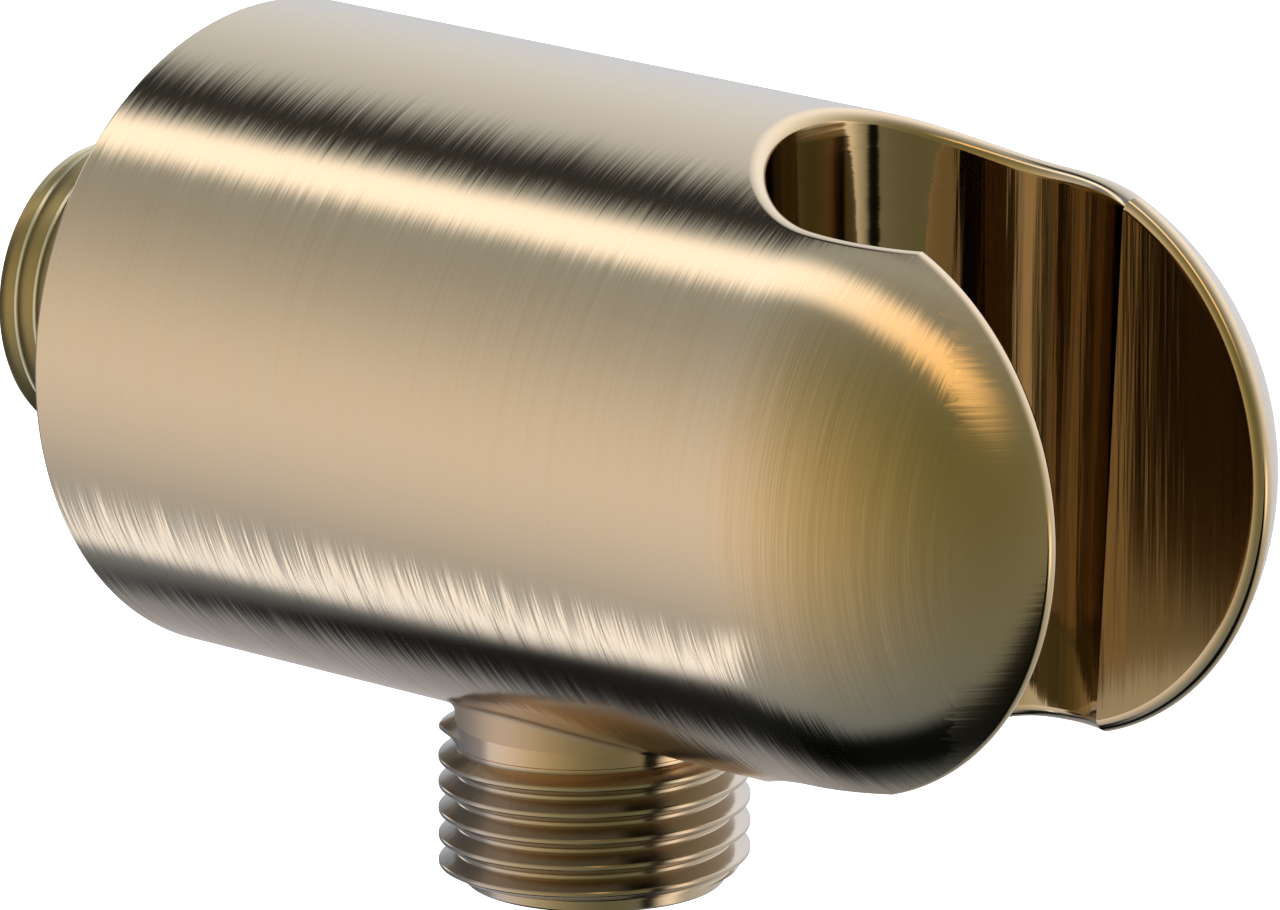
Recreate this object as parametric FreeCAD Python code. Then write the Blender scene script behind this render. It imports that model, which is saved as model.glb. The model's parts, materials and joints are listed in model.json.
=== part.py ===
"""Shower wall outlet with a fork for the hand shower.

A brass body stands straight out from the wall. Its round end is open at the front as a fork,
which takes the tapered nut of a hand shower. Water comes in through a threaded nipple at the back
and leaves downwards through a threaded outlet, which holds a non-return valve cartridge.

The origin is the centre of the body's back face, in the plane of the wall.
+Y goes into the wall, -Y out into the room and +Z up. All sizes are in millimetres.
"""
import FreeCAD, Part
import math
import os

Vector = FreeCAD.Vector

# Body, a bar of round section with a domed end
body_radius = 22.25
body_reach = 83.4          # wall to the tip of the dome
back_edge_chamfer = 0.3

# Fork, a tapered bore that a slot opens to the front
fork_setback = 62.1        # wall to the axis of the bore
fork_bore_radius = 11.2    # at the height of the body's axis
fork_half_angle = 1.6      # degrees, the bore widens upwards
fork_slot_width = 19.3
fork_edge_chamfer = 0.6

# Pipe thread, its crest and its root
thread_radius = 10.4775
thread_root_radius = 9.3155
screwed_clearance = 0.04   # radial, between a screwed piece and its hole

# Outlet, measured down from the body's lowest line
outlet_setback = 30.6      # wall to the axis of the outlet
outlet_length = 11.15
outlet_neck_length = 0.5   # plain stretch above the thread
outlet_thread_length = 9.85
outlet_lead_radius = 8.8
outlet_neck_round = 1.2

# Wall nipple
nipple_protrusion = 16.0   # past the wall plane
nipple_engagement = 12.0   # inside the body
nipple_bore_radius = 5.5
nipple_chamfer = 0.8
nipple_relief_width = 2.5  # groove between its two threads, from the wall plane inwards
nipple_hexagon = 12.0      # across the flats of the key socket
nipple_hexagon_depth = 10.0

# Seals at the back
washer_thickness = 2.0
washer_outer_radius = 9.25
washer_inner_radius = 6.25
gasket_outer_radius = 18.0
gasket_thickness = 2.5
gasket_clearance = 0.15    # radial, in its recess
gasket_hole_clearance = 0.5225  # radial, round the nipple

# Water ways through the body
feed_radius = 6.0          # along the body
feed_overrun = 1.0         # past the far wall of the drop
drop_radius = 5.5          # down to the valve
drill_point_angle = 118.0  # degrees, included

# Valve cartridge, standing in the outlet with its inlet end up
cartridge_length = 18.5
cartridge_radius = 7.4
cartridge_clearance = 0.1  # radial, in the outlet
cartridge_recess = 1.5     # outlet end face to the end of the cartridge
cartridge_wall = 1.15
clip_wall = 0.55           # of each sleeve where the two clip together
clip_length = 2.4
clip_clearance = 0.03
groove_drop = 1.5          # cartridge top to the seal groove
groove_width = 1.9
groove_depth = 1.1
ring_clearance = 0.02      # sealing ring to the wall and to the groove's floor
ring_sides = 8             # flats that stand for the ring's round section

# Valve seat
seat_radius = 4.4
seat_drop = 5.6            # cartridge top to the seat's edge
seat_land = 1.0            # straight stretch above the cone
seat_mouth_radius = 5.2

# Poppet with its seal
seal_outer_radius = 5.4
seal_inner_radius = 3.5
seal_height = 1.1
seal_edge_gap = 0.2        # seat's edge down to the top of the seal, closed
seat_gap = 0.04            # seal to the seat's cone, closed
poppet_lift = 2.5
poppet_lip_radius = 4.0
poppet_lip_height = 0.5
poppet_flange_radius = 4.9
poppet_flange_height = 1.0
poppet_boss_radius = 1.75
stop_clearance = 0.05      # boss to the guide bush, fully open
stem_radius = 1.2
stem_clearance = 0.08      # radial, in the guide bush

# Cage below the poppet
guide_radius = 2.6
guide_length = 4.2
cage_arms = 4
cage_arm_width = 1.2
cage_arm_height = 2.2

# Spring
spring_wire_radius = 0.225
spring_radius = 2.15       # to the middle of the wire
spring_turns = 5
wire_sides = 6             # flats that stand for the wire's round section

# Places that follow from the sizes
dome_centre = -(body_reach - body_radius)
gasket_floor = -gasket_thickness
gasket_inner_radius = thread_radius + gasket_hole_clearance
washer_floor = -(nipple_engagement + washer_thickness)
outlet_end = body_radius + outlet_length
outlet_thread_start = body_radius + outlet_neck_length
outlet_bore_radius = cartridge_radius + cartridge_clearance
cartridge_bottom = -(outlet_end - cartridge_recess)
cartridge_top = cartridge_bottom + cartridge_length
outlet_thread_end = outlet_thread_start + outlet_thread_length
thread_depth = thread_radius - thread_root_radius
fork_slope = math.tan(math.radians(fork_half_angle))
slot_half = fork_slot_width / 2
chamber_radius = cartridge_radius - cartridge_wall
clip_radius = cartridge_radius - clip_wall
seat_edge = cartridge_top - seat_drop
chamber_top = seat_edge - (chamber_radius - seat_radius)
clip_bottom = chamber_top - clip_length
seal_top = seat_edge - seal_edge_gap
flange_bottom = seal_top - seal_height - poppet_flange_height
guide_top = cartridge_bottom + guide_length
overshoot = 2.0            # how far a cutting tool runs past what it cuts


def upright(shape):
    """A piece turned about Z, moved to the outlet's axis."""
    return shape.translated(Vector(0, -outlet_setback, 0))


def lying(shape):
    """A piece turned about Z, laid down so that its axis is the body's, +Z becoming +Y."""
    return shape.rotated(Vector(), Vector(1, 0, 0), -90)


def turned(profile):
    """A ring or a shaft about Z from the closed outline of its section, as (radius, height) points."""
    points = [Vector(radius, 0, height) for radius, height in profile]
    section = Part.Face(Part.makePolygon(points + points[:1]))
    return section.revolve(Vector(), Vector(0, 0, 1), 360)


def polygon(sides, radius, middle):
    """The corners of a regular polygon about a middle point, as pairs."""
    angles = [2 * math.pi * (side + 0.5) / sides for side in range(sides)]
    return [(middle[0] + radius * math.cos(angle), middle[1] + radius * math.sin(angle)) for angle in angles]


def cylinder(radius, low, high, inner=0):
    """A cylinder about Z between two heights, hollow if an inner radius is given."""
    return turned([(inner, low), (radius, low), (radius, high), (inner, high)])


def on_body_skin(point):
    """True on the body's outer surface, cylinder or dome."""
    past_cylinder = min(point.y - dome_centre, 0)
    return abs(math.hypot(point.x, point.z, past_cylinder) - body_radius) < 1e-4


def on_fork_wall(point):
    """True on the walls of the tapered bore or of the slot."""
    radius = fork_bore_radius + point.z * fork_slope
    on_bore = abs(math.hypot(point.x, point.y + fork_setback) - radius) < 1e-4
    return on_bore or abs(abs(point.x) - slot_half) < 1e-4


def on_neck(point):
    """True on the outlet's plain neck."""
    return abs(math.hypot(point.x, point.y + outlet_setback) - thread_root_radius) < 1e-4


def edges_on(shape, *tests):
    """The edges whose inner points lie on each of the surfaces that are tested for."""
    found = []
    for edge in shape.Edges:
        first, last = edge.ParameterRange
        places = [edge.valueAt(first + share * (last - first)) for share in (0.25, 0.5, 0.8)]
        if all(test(place) for place in places for test in tests):
            found.append(edge)
    return found


def body_blank():
    """The round bar with its domed end and slightly bevelled back edge."""
    dome_mid = body_radius * math.sqrt(0.5)
    tip, back = Vector(0, 0, -body_reach), Vector(0, 0, 0)
    bevel_inside = Vector(body_radius - back_edge_chamfer, 0, 0)
    bevel_outside = Vector(body_radius, 0, -back_edge_chamfer)
    dome_start = Vector(body_radius, 0, dome_centre)
    outline = [
        Part.LineSegment(tip, back),
        Part.LineSegment(back, bevel_inside),
        Part.LineSegment(bevel_inside, bevel_outside),
        Part.LineSegment(bevel_outside, dome_start),
        Part.Arc(dome_start, Vector(dome_mid, 0, dome_centre - dome_mid), tip),
    ]
    section = Part.Face(Part.Wire([line.toShape() for line in outline]))
    return lying(section.revolve(Vector(), Vector(0, 0, 1), 360))


def fork_tool():
    """What is cut away for the fork: the tapered bore and the slot in front of it."""
    reach = body_radius + overshoot
    low_radius = fork_bore_radius - reach * fork_slope
    high_radius = fork_bore_radius + reach * fork_slope
    bore = Part.makeCone(low_radius, high_radius, 2 * reach, Vector(0, -fork_setback, -reach))
    slot_depth = body_reach + overshoot - fork_setback
    slot_corner = Vector(-slot_half, -fork_setback - slot_depth, -reach)
    return bore.fuse(Part.makeBox(fork_slot_width, slot_depth, 2 * reach, slot_corner))


def outlet_spigot():
    """The threaded end of the outlet, its thread drawn as a plain shaft at the crests."""
    start, end = -outlet_thread_start, -outlet_thread_end
    return upright(turned([
        (0, -body_radius / 2),
        (thread_root_radius, -body_radius / 2),
        (thread_root_radius, start + thread_depth / 2),
        (thread_radius, start),
        (thread_radius, end + thread_depth / 2),
        (outlet_lead_radius, end - thread_depth / 4),
        (outlet_lead_radius, -outlet_end),
        (0, -outlet_end),
    ]))


def water_ways():
    """The drilled and bored ways: nipple pocket, gasket recess, feed, drop and valve pocket."""
    gasket_recess = cylinder(gasket_outer_radius + gasket_clearance, gasket_floor, overshoot)
    pocket = cylinder(thread_radius + screwed_clearance, washer_floor, 0)
    feed_end = -(outlet_setback + drop_radius + feed_overrun)
    point_depth = feed_radius / math.tan(math.radians(drill_point_angle / 2))
    feed = turned([(0, feed_end - point_depth), (feed_radius, feed_end), (feed_radius, 0), (0, 0)])
    drop = cylinder(drop_radius, cartridge_top, 0)
    valve_pocket = cylinder(outlet_bore_radius, -outlet_end - overshoot, cartridge_top)
    tool = lying(gasket_recess.fuse([pocket, feed]))
    return tool.fuse([upright(drop), upright(valve_pocket)])


def make_body():
    neck = upright(cylinder(thread_root_radius, -outlet_thread_start, -body_radius / 2))
    solid = body_blank().fuse(neck).removeSplitter()
    solid = solid.makeFillet(outlet_neck_round, edges_on(solid, on_body_skin, on_neck))
    solid = solid.cut(fork_tool())
    solid = solid.makeChamfer(fork_edge_chamfer, edges_on(solid, on_body_skin, on_fork_wall))
    return solid.fuse(outlet_spigot()).cut(water_ways()).removeSplitter()


def make_inlet_nipple():
    inner_end, wall_end = -nipple_engagement, nipple_protrusion
    shaft = turned([
        (nipple_bore_radius, inner_end),
        (thread_radius - nipple_chamfer, inner_end),
        (thread_radius, inner_end + nipple_chamfer),
        (thread_radius, -nipple_relief_width - thread_depth),
        (thread_root_radius, -nipple_relief_width),
        (thread_root_radius, -thread_depth),
        (thread_radius, 0),
        (thread_radius, wall_end - nipple_chamfer),
        (thread_radius - nipple_chamfer, wall_end),
        (nipple_bore_radius, wall_end),
    ])
    corner_radius = nipple_hexagon / 2 / math.cos(math.pi / 6)
    corners = [Vector(x, y, wall_end - nipple_hexagon_depth) for x, y in polygon(6, corner_radius, (0, 0))]
    hexagon = Part.Face(Part.makePolygon(corners + corners[:1]))
    socket = hexagon.extrude(Vector(0, 0, nipple_hexagon_depth + overshoot))
    return lying(shaft.cut(socket))


def make_nipple_washer():
    return lying(cylinder(washer_outer_radius, washer_floor, -nipple_engagement, washer_inner_radius))


def make_wall_gasket():
    return lying(cylinder(gasket_outer_radius, gasket_floor, 0, gasket_inner_radius))


def make_valve_seat_sleeve():
    """The upper half of the cartridge, with the seal groove outside and the valve's seat inside."""
    groove_floor = cartridge_radius - groove_depth
    groove_top = cartridge_top - groove_drop
    groove_bottom = groove_top - groove_width
    skirt_radius = clip_radius + clip_clearance
    return upright(turned([
        (seat_mouth_radius, cartridge_top),
        (cartridge_radius, cartridge_top),
        (cartridge_radius, groove_top),
        (groove_floor, groove_top),
        (groove_floor, groove_bottom),
        (cartridge_radius, groove_bottom),
        (cartridge_radius, clip_bottom),
        (skirt_radius, clip_bottom),
        (skirt_radius, chamber_top),
        (chamber_radius, chamber_top),
        (seat_radius, seat_edge),
        (seat_radius, seat_edge + seat_land),
    ]))


def make_valve_cage():
    """The lower half of the cartridge, with the arms that carry the guide bush of the poppet."""
    sleeve = turned([
        (chamber_radius, cartridge_bottom),
        (cartridge_radius, cartridge_bottom),
        (cartridge_radius, clip_bottom - clip_clearance),
        (clip_radius, clip_bottom - clip_clearance),
        (clip_radius, chamber_top - clip_clearance),
        (chamber_radius, chamber_top - clip_clearance),
    ])
    arm_reach = chamber_radius + cartridge_wall / 2
    arm_corner = Vector(0, -cage_arm_width / 2, cartridge_bottom)
    arm = Part.makeBox(arm_reach, cage_arm_width, cage_arm_height, arm_corner)
    step = 360 / cage_arms
    arms = [arm.rotated(Vector(), Vector(0, 0, 1), step * (turn + 0.5)) for turn in range(cage_arms)]
    bush = cylinder(guide_radius, cartridge_bottom, guide_top)
    hole = cylinder(stem_radius + stem_clearance, cartridge_bottom - overshoot, guide_top + overshoot)
    return upright(sleeve.fuse(arms + [bush]).cut(hole).removeSplitter())


def make_valve_poppet():
    """The mushroom head that shuts the seat, its spring boss and the stem that the bush guides."""
    seal_bottom = seal_top - seal_height
    lip_top = seal_top + poppet_lip_height
    boss_bottom = guide_top + poppet_lift + stop_clearance
    stem_tip = cartridge_bottom + poppet_lift
    return upright(turned([
        (0, stem_tip),
        (stem_radius, stem_tip),
        (stem_radius, boss_bottom),
        (poppet_boss_radius, boss_bottom),
        (poppet_boss_radius, flange_bottom),
        (poppet_flange_radius, flange_bottom),
        (poppet_flange_radius, seal_bottom),
        (seal_inner_radius, seal_bottom),
        (seal_inner_radius, seal_top),
        (poppet_lip_radius, seal_top),
        (seal_inner_radius, lip_top),
        (0, lip_top),
    ]))


def make_poppet_seal():
    """The rubber ring in the poppet's groove, its shoulder bevelled to the seat's cone."""
    shoulder_radius = seat_radius + seal_edge_gap - seat_gap * math.sqrt(2)
    shoulder_height = seal_outer_radius - shoulder_radius
    return upright(turned([
        (seal_inner_radius, seal_top - seal_height),
        (seal_outer_radius, seal_top - seal_height),
        (seal_outer_radius, seal_top - shoulder_height),
        (shoulder_radius, seal_top),
        (seal_inner_radius, seal_top),
    ]))


def make_valve_spring():
    """The closing spring, between the guide bush and the underside of the poppet's flange."""
    foot = guide_top + spring_wire_radius
    rise = flange_bottom - spring_wire_radius - foot
    path = Part.makeHelix(rise / spring_turns, rise, spring_radius)
    corners = [Vector(x, 0, z) for x, z in polygon(wire_sides, spring_wire_radius, (spring_radius, 0))]
    coil = Part.Wire(path).makePipeShell([Part.makePolygon(corners + corners[:1])], True, True)
    return upright(coil.translated(Vector(0, 0, foot)))


def make_cartridge_seal():
    """The sealing ring between the cartridge and the outlet's wall."""
    groove_floor = cartridge_radius - groove_depth
    section = (outlet_bore_radius - groove_floor) / 2 - ring_clearance
    middle = cartridge_top - groove_drop - groove_width / 2
    return upright(turned(polygon(ring_sides, section, ((outlet_bore_radius + groove_floor) / 2, middle))))


pieces = {
    "body": make_body(),
    "inlet_nipple": make_inlet_nipple(),
    "nipple_washer": make_nipple_washer(),
    "wall_gasket": make_wall_gasket(),
    "valve_seat_sleeve": make_valve_seat_sleeve(),
    "valve_cage": make_valve_cage(),
    "valve_poppet": make_valve_poppet(),
    "poppet_seal": make_poppet_seal(),
    "valve_spring": make_valve_spring(),
    "cartridge_seal": make_cartridge_seal(),
}

os.makedirs("parts", exist_ok=True)
for name, shape in pieces.items():
    shape.exportStep(f"parts/{name}.step")
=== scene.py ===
import json
import math
from collections import namedtuple

import bpy
import numpy as np
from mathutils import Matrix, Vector
from mathutils.geometry import delaunay_2d_cdt


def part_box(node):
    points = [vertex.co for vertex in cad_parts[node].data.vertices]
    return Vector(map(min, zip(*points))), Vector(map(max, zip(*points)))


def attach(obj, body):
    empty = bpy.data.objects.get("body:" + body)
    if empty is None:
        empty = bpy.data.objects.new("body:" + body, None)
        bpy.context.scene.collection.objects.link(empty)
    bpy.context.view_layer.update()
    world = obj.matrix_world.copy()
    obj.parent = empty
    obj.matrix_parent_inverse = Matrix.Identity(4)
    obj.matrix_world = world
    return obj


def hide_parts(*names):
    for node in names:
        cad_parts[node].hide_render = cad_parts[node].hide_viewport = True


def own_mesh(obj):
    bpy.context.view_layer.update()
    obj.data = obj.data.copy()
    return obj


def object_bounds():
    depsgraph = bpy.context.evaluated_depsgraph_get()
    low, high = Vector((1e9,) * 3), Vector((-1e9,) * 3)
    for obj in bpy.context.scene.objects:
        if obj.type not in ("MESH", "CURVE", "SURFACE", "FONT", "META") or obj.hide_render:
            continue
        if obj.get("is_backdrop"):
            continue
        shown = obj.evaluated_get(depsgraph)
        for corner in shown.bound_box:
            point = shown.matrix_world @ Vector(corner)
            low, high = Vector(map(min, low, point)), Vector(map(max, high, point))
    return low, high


bl_info = {
    "name": "Shower wall outlet",
    "version": (1, 0, 0),
    "blender": (4, 5, 0),
    "location": "View3D > Sidebar > Wall outlet",
    "description": "Builds a brushed brass wall outlet with a fork for a hand shower",
    "category": "Add Mesh",
}

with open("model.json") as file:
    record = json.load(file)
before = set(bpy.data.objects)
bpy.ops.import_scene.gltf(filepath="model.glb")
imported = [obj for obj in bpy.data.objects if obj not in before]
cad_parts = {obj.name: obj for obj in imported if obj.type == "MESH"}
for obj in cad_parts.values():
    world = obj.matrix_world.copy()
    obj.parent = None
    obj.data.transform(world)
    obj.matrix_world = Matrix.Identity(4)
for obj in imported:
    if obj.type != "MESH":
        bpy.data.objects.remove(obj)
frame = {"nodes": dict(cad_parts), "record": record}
cad_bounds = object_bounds()

MM = 0.001
WALL_MOUNT = next(mount for mount in frame["record"]["mounts"] if mount["name"] == "inlet_thread")
OUTLET_MOUNT = next(mount for mount in frame["record"]["mounts"] if mount["name"] == "outlet_thread")
SEAT_MOUNT = next(mount for mount in frame["record"]["mounts"] if mount["name"] == "hand_shower_seat")
FIXED = "wall_outlet"
PI = math.pi


def length(name, description, default):
    """A length that the user can set, in metres."""
    return bpy.props.FloatProperty(name=name, description=description, default=default,
                                   unit="LENGTH", precision=5)


def angle(name, description, degrees):
    """An angle that the user can set."""
    return bpy.props.FloatProperty(name=name, description=description,
                                   default=math.radians(degrees), unit="ROTATION")


def share(name, description, default):
    """A plain factor that the user can set."""
    return bpy.props.FloatProperty(name=name, description=description, default=default)


def colour(name, description, default, brightest=1):
    """A colour that the user can set. A light's colour may be brighter than white."""
    return bpy.props.FloatVectorProperty(name=name, description=description, default=default,
                                         subtype="COLOR", size=3, min=0, max=brightest)


class BodySizes(bpy.types.PropertyGroup):
    """Sizes of the body and its fork."""
    radius: length("Radius", "Radius of the body and of its dome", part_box("body")[1].x)
    straight: length("Straight length", "Wall to the start of the dome", 61.15 * MM)
    back_round: length("Back edge", "Rounding of the edge at the wall", 0.3 * MM)
    setback: length("Fork setback", "Wall to the axis of the fork's bore", -SEAT_MOUNT["pos_m"][1])
    bore_radius: length("Bore radius", "Radius of the fork's bore at the body's axis", 11.2 * MM)
    bore_angle: angle("Bore taper", "Half angle of the fork's tapered bore", 1.6)
    slot_width: length("Slot width", "Width of the slot in front of the bore", 19.3 * MM)
    edge_round: length("Fork edge", "Rounding of the fork's edges", 0.9 * MM)
    recess_radius: length("Gasket recess radius", "Radius of the recess in the back face", 18.15 * MM)
    recess_depth: length("Gasket recess depth", "Depth of the recess in the back face", 2.5 * MM)
    pocket_radius: length("Pocket radius", "Radius of the pocket for the nipple", 10.5175 * MM)
    pocket_depth: length("Pocket depth", "Depth of the pocket for the nipple", 14 * MM)
    feed_radius: length("Feed radius", "Radius of the water way along the body", 6 * MM)
    feed_end: length("Feed end", "Wall to the end of the water way", 37.1 * MM)
    drill_angle: angle("Drill point", "Included angle of the drill's point", 118)


class OutletSizes(bpy.types.PropertyGroup):
    """Sizes of the outlet under the body."""
    setback: length("Setback", "Wall to the axis of the outlet", -OUTLET_MOUNT["pos_m"][1])
    neck_round: length("Neck rounding", "Hollow rounding between body and neck", 0.7 * MM)
    thread_top: length("Top of the thread", "Height where the thread starts", -22.3 * MM)
    run_out: share("Run-out", "Part of a turn past the front where the thread fades at its top", 0.61)
    run_out_part: share("Run-out length", "Part of a turn over which the thread fades", 0.06)
    neck_step: length("Neck step", "How far the neck stands out from the thread's groove", 0.05 * MM)
    thread_bottom: length("Bottom of the thread", "Height where the thread ends", -32.5 * MM)
    crest_height: length("Crest height", "Height of a crest where the thread faces the room", -24.184 * MM)
    lead_radius: length("Lead-in radius", "Radius of the plain end below the thread", 8.8 * MM)
    lead_top: length("Lead-in top", "Height where the plain end starts", -32.6 * MM)
    bottom: length("End", "Height of the outlet's end face", -33.4 * MM)
    bevel: length("End bevel", "Bevel of the edges at the end", 0.15 * MM)
    bore_radius: length("Valve pocket radius", "Radius of the pocket for the valve", 7.5 * MM)
    drop_radius: length("Drop radius", "Radius of the water way down to the valve", 5.5 * MM)


class ThreadSizes(bpy.types.PropertyGroup):
    """Sizes that both pipe threads share."""
    crest_radius: length("Crest radius", "Outside radius of the thread", WALL_MOUNT["dims"]["r_mm"] * MM)
    root_radius: length("Root radius", "Radius at the bottom of the groove", 9.3155 * MM)
    pitch: length("Pitch", "Rise of the thread in one turn", 1.814 * MM)
    flank_angle: angle("Flank angle", "Lean of a flank against the plane across the axis", 27.5)
    corner: length("Corner", "Bevel at crest and root", 0.05 * MM)


class NippleSizes(bpy.types.PropertyGroup):
    """Sizes of the wall nipple."""
    thread_start: length("Thread start", "Where the outer thread starts", 0)
    crest_place: length("Crest place", "Distance from the wall of a crest that faces down", 1.6 * MM)
    chamfer_start: length("Chamfer start", "Where the chamfer at the end starts", 15.4 * MM)
    end_radius: length("End radius", "Radius of the end face", 9.9 * MM)
    relief_width: length("Relief width", "Width of the groove behind the outer thread", 2.5 * MM)
    hexagon: length("Hexagon", "Width of the key socket across its flats", 12 * MM)
    hexagon_depth: length("Hexagon depth", "Depth of the key socket", 10 * MM)
    bore_radius: length("Bore radius", "Radius of the nipple's bore", 5.5 * MM)


NO_TURN = 1e-9                        # radians; two directions closer than this are the same
WELD = 1e8                            # steps in a metre; corners on one step share a vertex
EDGE_CLEARANCE = 0.75                 # an inner point's distance from a patch's outline, in spacings
ROW_SPACING = math.sqrt(0.75)         # distance between rows of even triangles, in spacings
SAME_POINT = 1e-6                     # millimetres; nearer points of a patch are merged
SMOOTH_ANGLE = math.radians(20)       # sharpest edge of the body and the nipple that looks round
WIRE_SMOOTH_ANGLE = math.radians(35)  # sharpest edge of the spring that looks round


def row(*numbers):
    """A place or a direction as an array."""
    return np.array(numbers, float)


def unit(vector):
    return vector / np.linalg.norm(vector)


def between(first, last, part):
    """The direction a part of the way round from one direction to another."""
    turn = math.acos(max(-1, min(1, float(first @ last))))
    if turn < NO_TURN:
        return first
    return (first * math.sin((1 - part) * turn) + last * math.sin(part * turn)) / math.sin(turn)


def steps(first, last, count):
    """Evenly spaced values from first to last, both included."""
    return [first + (last - first) * number / count for number in range(count + 1)]


class Shell:
    """A skin of faces. Corners at one place share a vertex, and each corner may carry its own normal."""

    def __init__(self, placing=lambda place: place):
        self.placing = placing
        self.places = []
        self.numbers = {}
        self.faces = []
        self.normals = []
        self.finish = 0
        self.finishes = []

    def vertex(self, place):
        key = tuple(int(round(value * WELD)) for value in place)
        if key not in self.numbers:
            self.numbers[key] = len(self.places)
            self.places.append(tuple(place))
        return self.numbers[key]

    def face(self, corners):
        """Adds a face of (place, normal) corners. Its front is the side that its normals point to."""
        loop = {}
        for place, normal in corners:
            loop.setdefault(self.vertex(self.placing(place)), normal)
        if len(loop) < 3:
            return
        numbers = list(loop)
        normals = [row(0, 0, 0) if loop[number] is None else self.placing_turn(loop[number])
                   for number in numbers]
        lean = sum(normals)
        if lean @ lean > 0 and self.area(numbers) @ lean < 0:
            numbers.reverse()
            normals.reverse()
        self.faces.append(numbers)
        self.finishes.append(self.finish)
        self.normals.extend(normals)

    def placing_turn(self, normal):
        return self.placing(normal) - self.placing(row(0, 0, 0))

    def area(self, numbers):
        """The face's area as a vector along its normal."""
        ring = [row(*self.places[number]) for number in numbers]
        return sum(np.cross(ring[i - 1] - ring[0], ring[i] - ring[0]) for i in range(2, len(ring)))

    def strip(self, left, right, mirrored=False):
        """Faces between two columns of corners, and their mirror image across X = 0 if asked for."""
        for step in range(len(left) - 1):
            corners = [left[step], right[step], right[step + 1], left[step + 1]]
            self.face(corners)
            if mirrored:
                self.face(mirror(corners))

    def rings(self, rings):
        """Faces between closed rings of corners."""
        for upper, lower in zip(rings, rings[1:]):
            self.strip(upper + upper[:1], lower + lower[:1])

    def patch(self, outline, surface, spacing):
        """Fills a closed outline on a surface. The outline's points are (across, along, corner), and surface
        gives the corner at any (across, along). The mirror image is filled too."""
        flat = [Vector((across / MM, along / MM)) for across, along, corner in outline]
        count = len(flat)
        edge = np.array([tuple(point) for point in flat])
        gap = spacing / MM
        low, high = edge.min(0), edge.max(0)
        inside = []
        for number, along in enumerate(np.arange(low[1] + gap / 2, high[1], gap * ROW_SPACING)):
            for across in np.arange(low[0] + gap / 2 * (number % 2), high[0], gap):
                if np.min(np.hypot(edge[:, 0] - across, edge[:, 1] - along)) > EDGE_CLEARANCE * gap:
                    inside.append(Vector((across, along)))
        ring = [(number, (number + 1) % count) for number in range(count)]
        points, _, faces, origins, _, _ = delaunay_2d_cdt(flat + inside, ring, [], 1, SAME_POINT)
        corners = []
        for point, origin in zip(points, origins):
            known = origin and origin[0] < count
            corners.append(outline[origin[0]][2] if known else surface(point[0] * MM, point[1] * MM))
        for face in faces:
            self.face([corners[number] for number in face])
            self.face(mirror([corners[number] for number in face]))

    def build(self, name):
        """The finished mesh object, shaded by the corners' own normals where they have one."""
        mesh = bpy.data.meshes.new(name)
        mesh.from_pydata(self.places, [], self.faces)
        mesh.polygons.foreach_set("material_index", self.finishes)
        piece = bpy.data.objects.new(name, mesh)
        bpy.context.scene.collection.objects.link(piece)
        select_only(piece)
        bpy.ops.object.shade_smooth_by_angle(angle=SMOOTH_ANGLE)
        mesh.normals_split_custom_set([tuple(normal) for normal in self.normals])
        return piece


def mirror(corners):
    """Corners on the other side of the plane X = 0."""
    flip = row(-1, 1, 1)
    return [(place * flip, None if normal is None else normal * flip) for place, normal in reversed(corners)]


def select_only(piece):
    """Makes one object the only selected and the active one."""
    for other in bpy.context.selected_objects:
        other.select_set(False)
    piece.select_set(True)
    bpy.context.view_layer.objects.active = piece


ROUND_STEPS = 8          # facets across a rounded edge
BORE_STEPS = 40          # facets round half of the fork's bore
WALL_ROWS = 12           # rows of facets down the fork's wall
SLOT_STEPS = 72          # facets round an arm's rim
BACK_COUNT = 160         # facets round the body
BACK_ROUND_STEPS = 4     # facets across the back edge
FEED_ROWS = 20           # rows of facets along the feed's top
FEED_END_ROWS = 2        # rows of facets below, between the drop and the feed's end
FEED_START_ROWS = 12     # rows of facets below, between the pocket and the drop
SETTLE_ROUNDS = 20       # rounds in which the fork's edge finds its height
HALVINGS = 40            # halvings in which the neck's rounding finds its end
OUTLET_COUNT = 160       # facets round a thread
SKIN_SPACING = 1.1 * MM  # size of a facet on the body's skin
FORK_FINISH = 1          # place of the fork walls' material on the body
NECK_FINISH = 2          # place of the outlet neck's material on the body
THREAD_FINISH = 3        # place of the outlet thread's material on the body
EDGE_FINISH = 4          # place of the fork edge's material on the body
HOLLOW_FINISH = 5        # place of the hollow rounding's material on the body
ARM_FINISH = 6           # place of the slot walls' material on the body


def half_ring(count):
    """The angles of the half of a ring that has X above 0, from -90 to 90 degrees."""
    return [-PI / 2 + 2 * PI * number / count for number in range(count // 2 + 1)]


def full_ring(count):
    return [-PI / 2 + 2 * PI * number / count for number in range(count)]


def about_wall_axis(radius, depth, around):
    """A place at a radius round the body's axis, depth being Y."""
    return row(radius * math.cos(around), depth, radius * math.sin(around))


def about_outlet_axis(radius, height, around):
    """A place at a radius round the outlet's axis."""
    setback = bpy.context.scene.outlet_sizes.setback
    return row(radius * math.cos(around), radius * math.sin(around) - setback, height)


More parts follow.
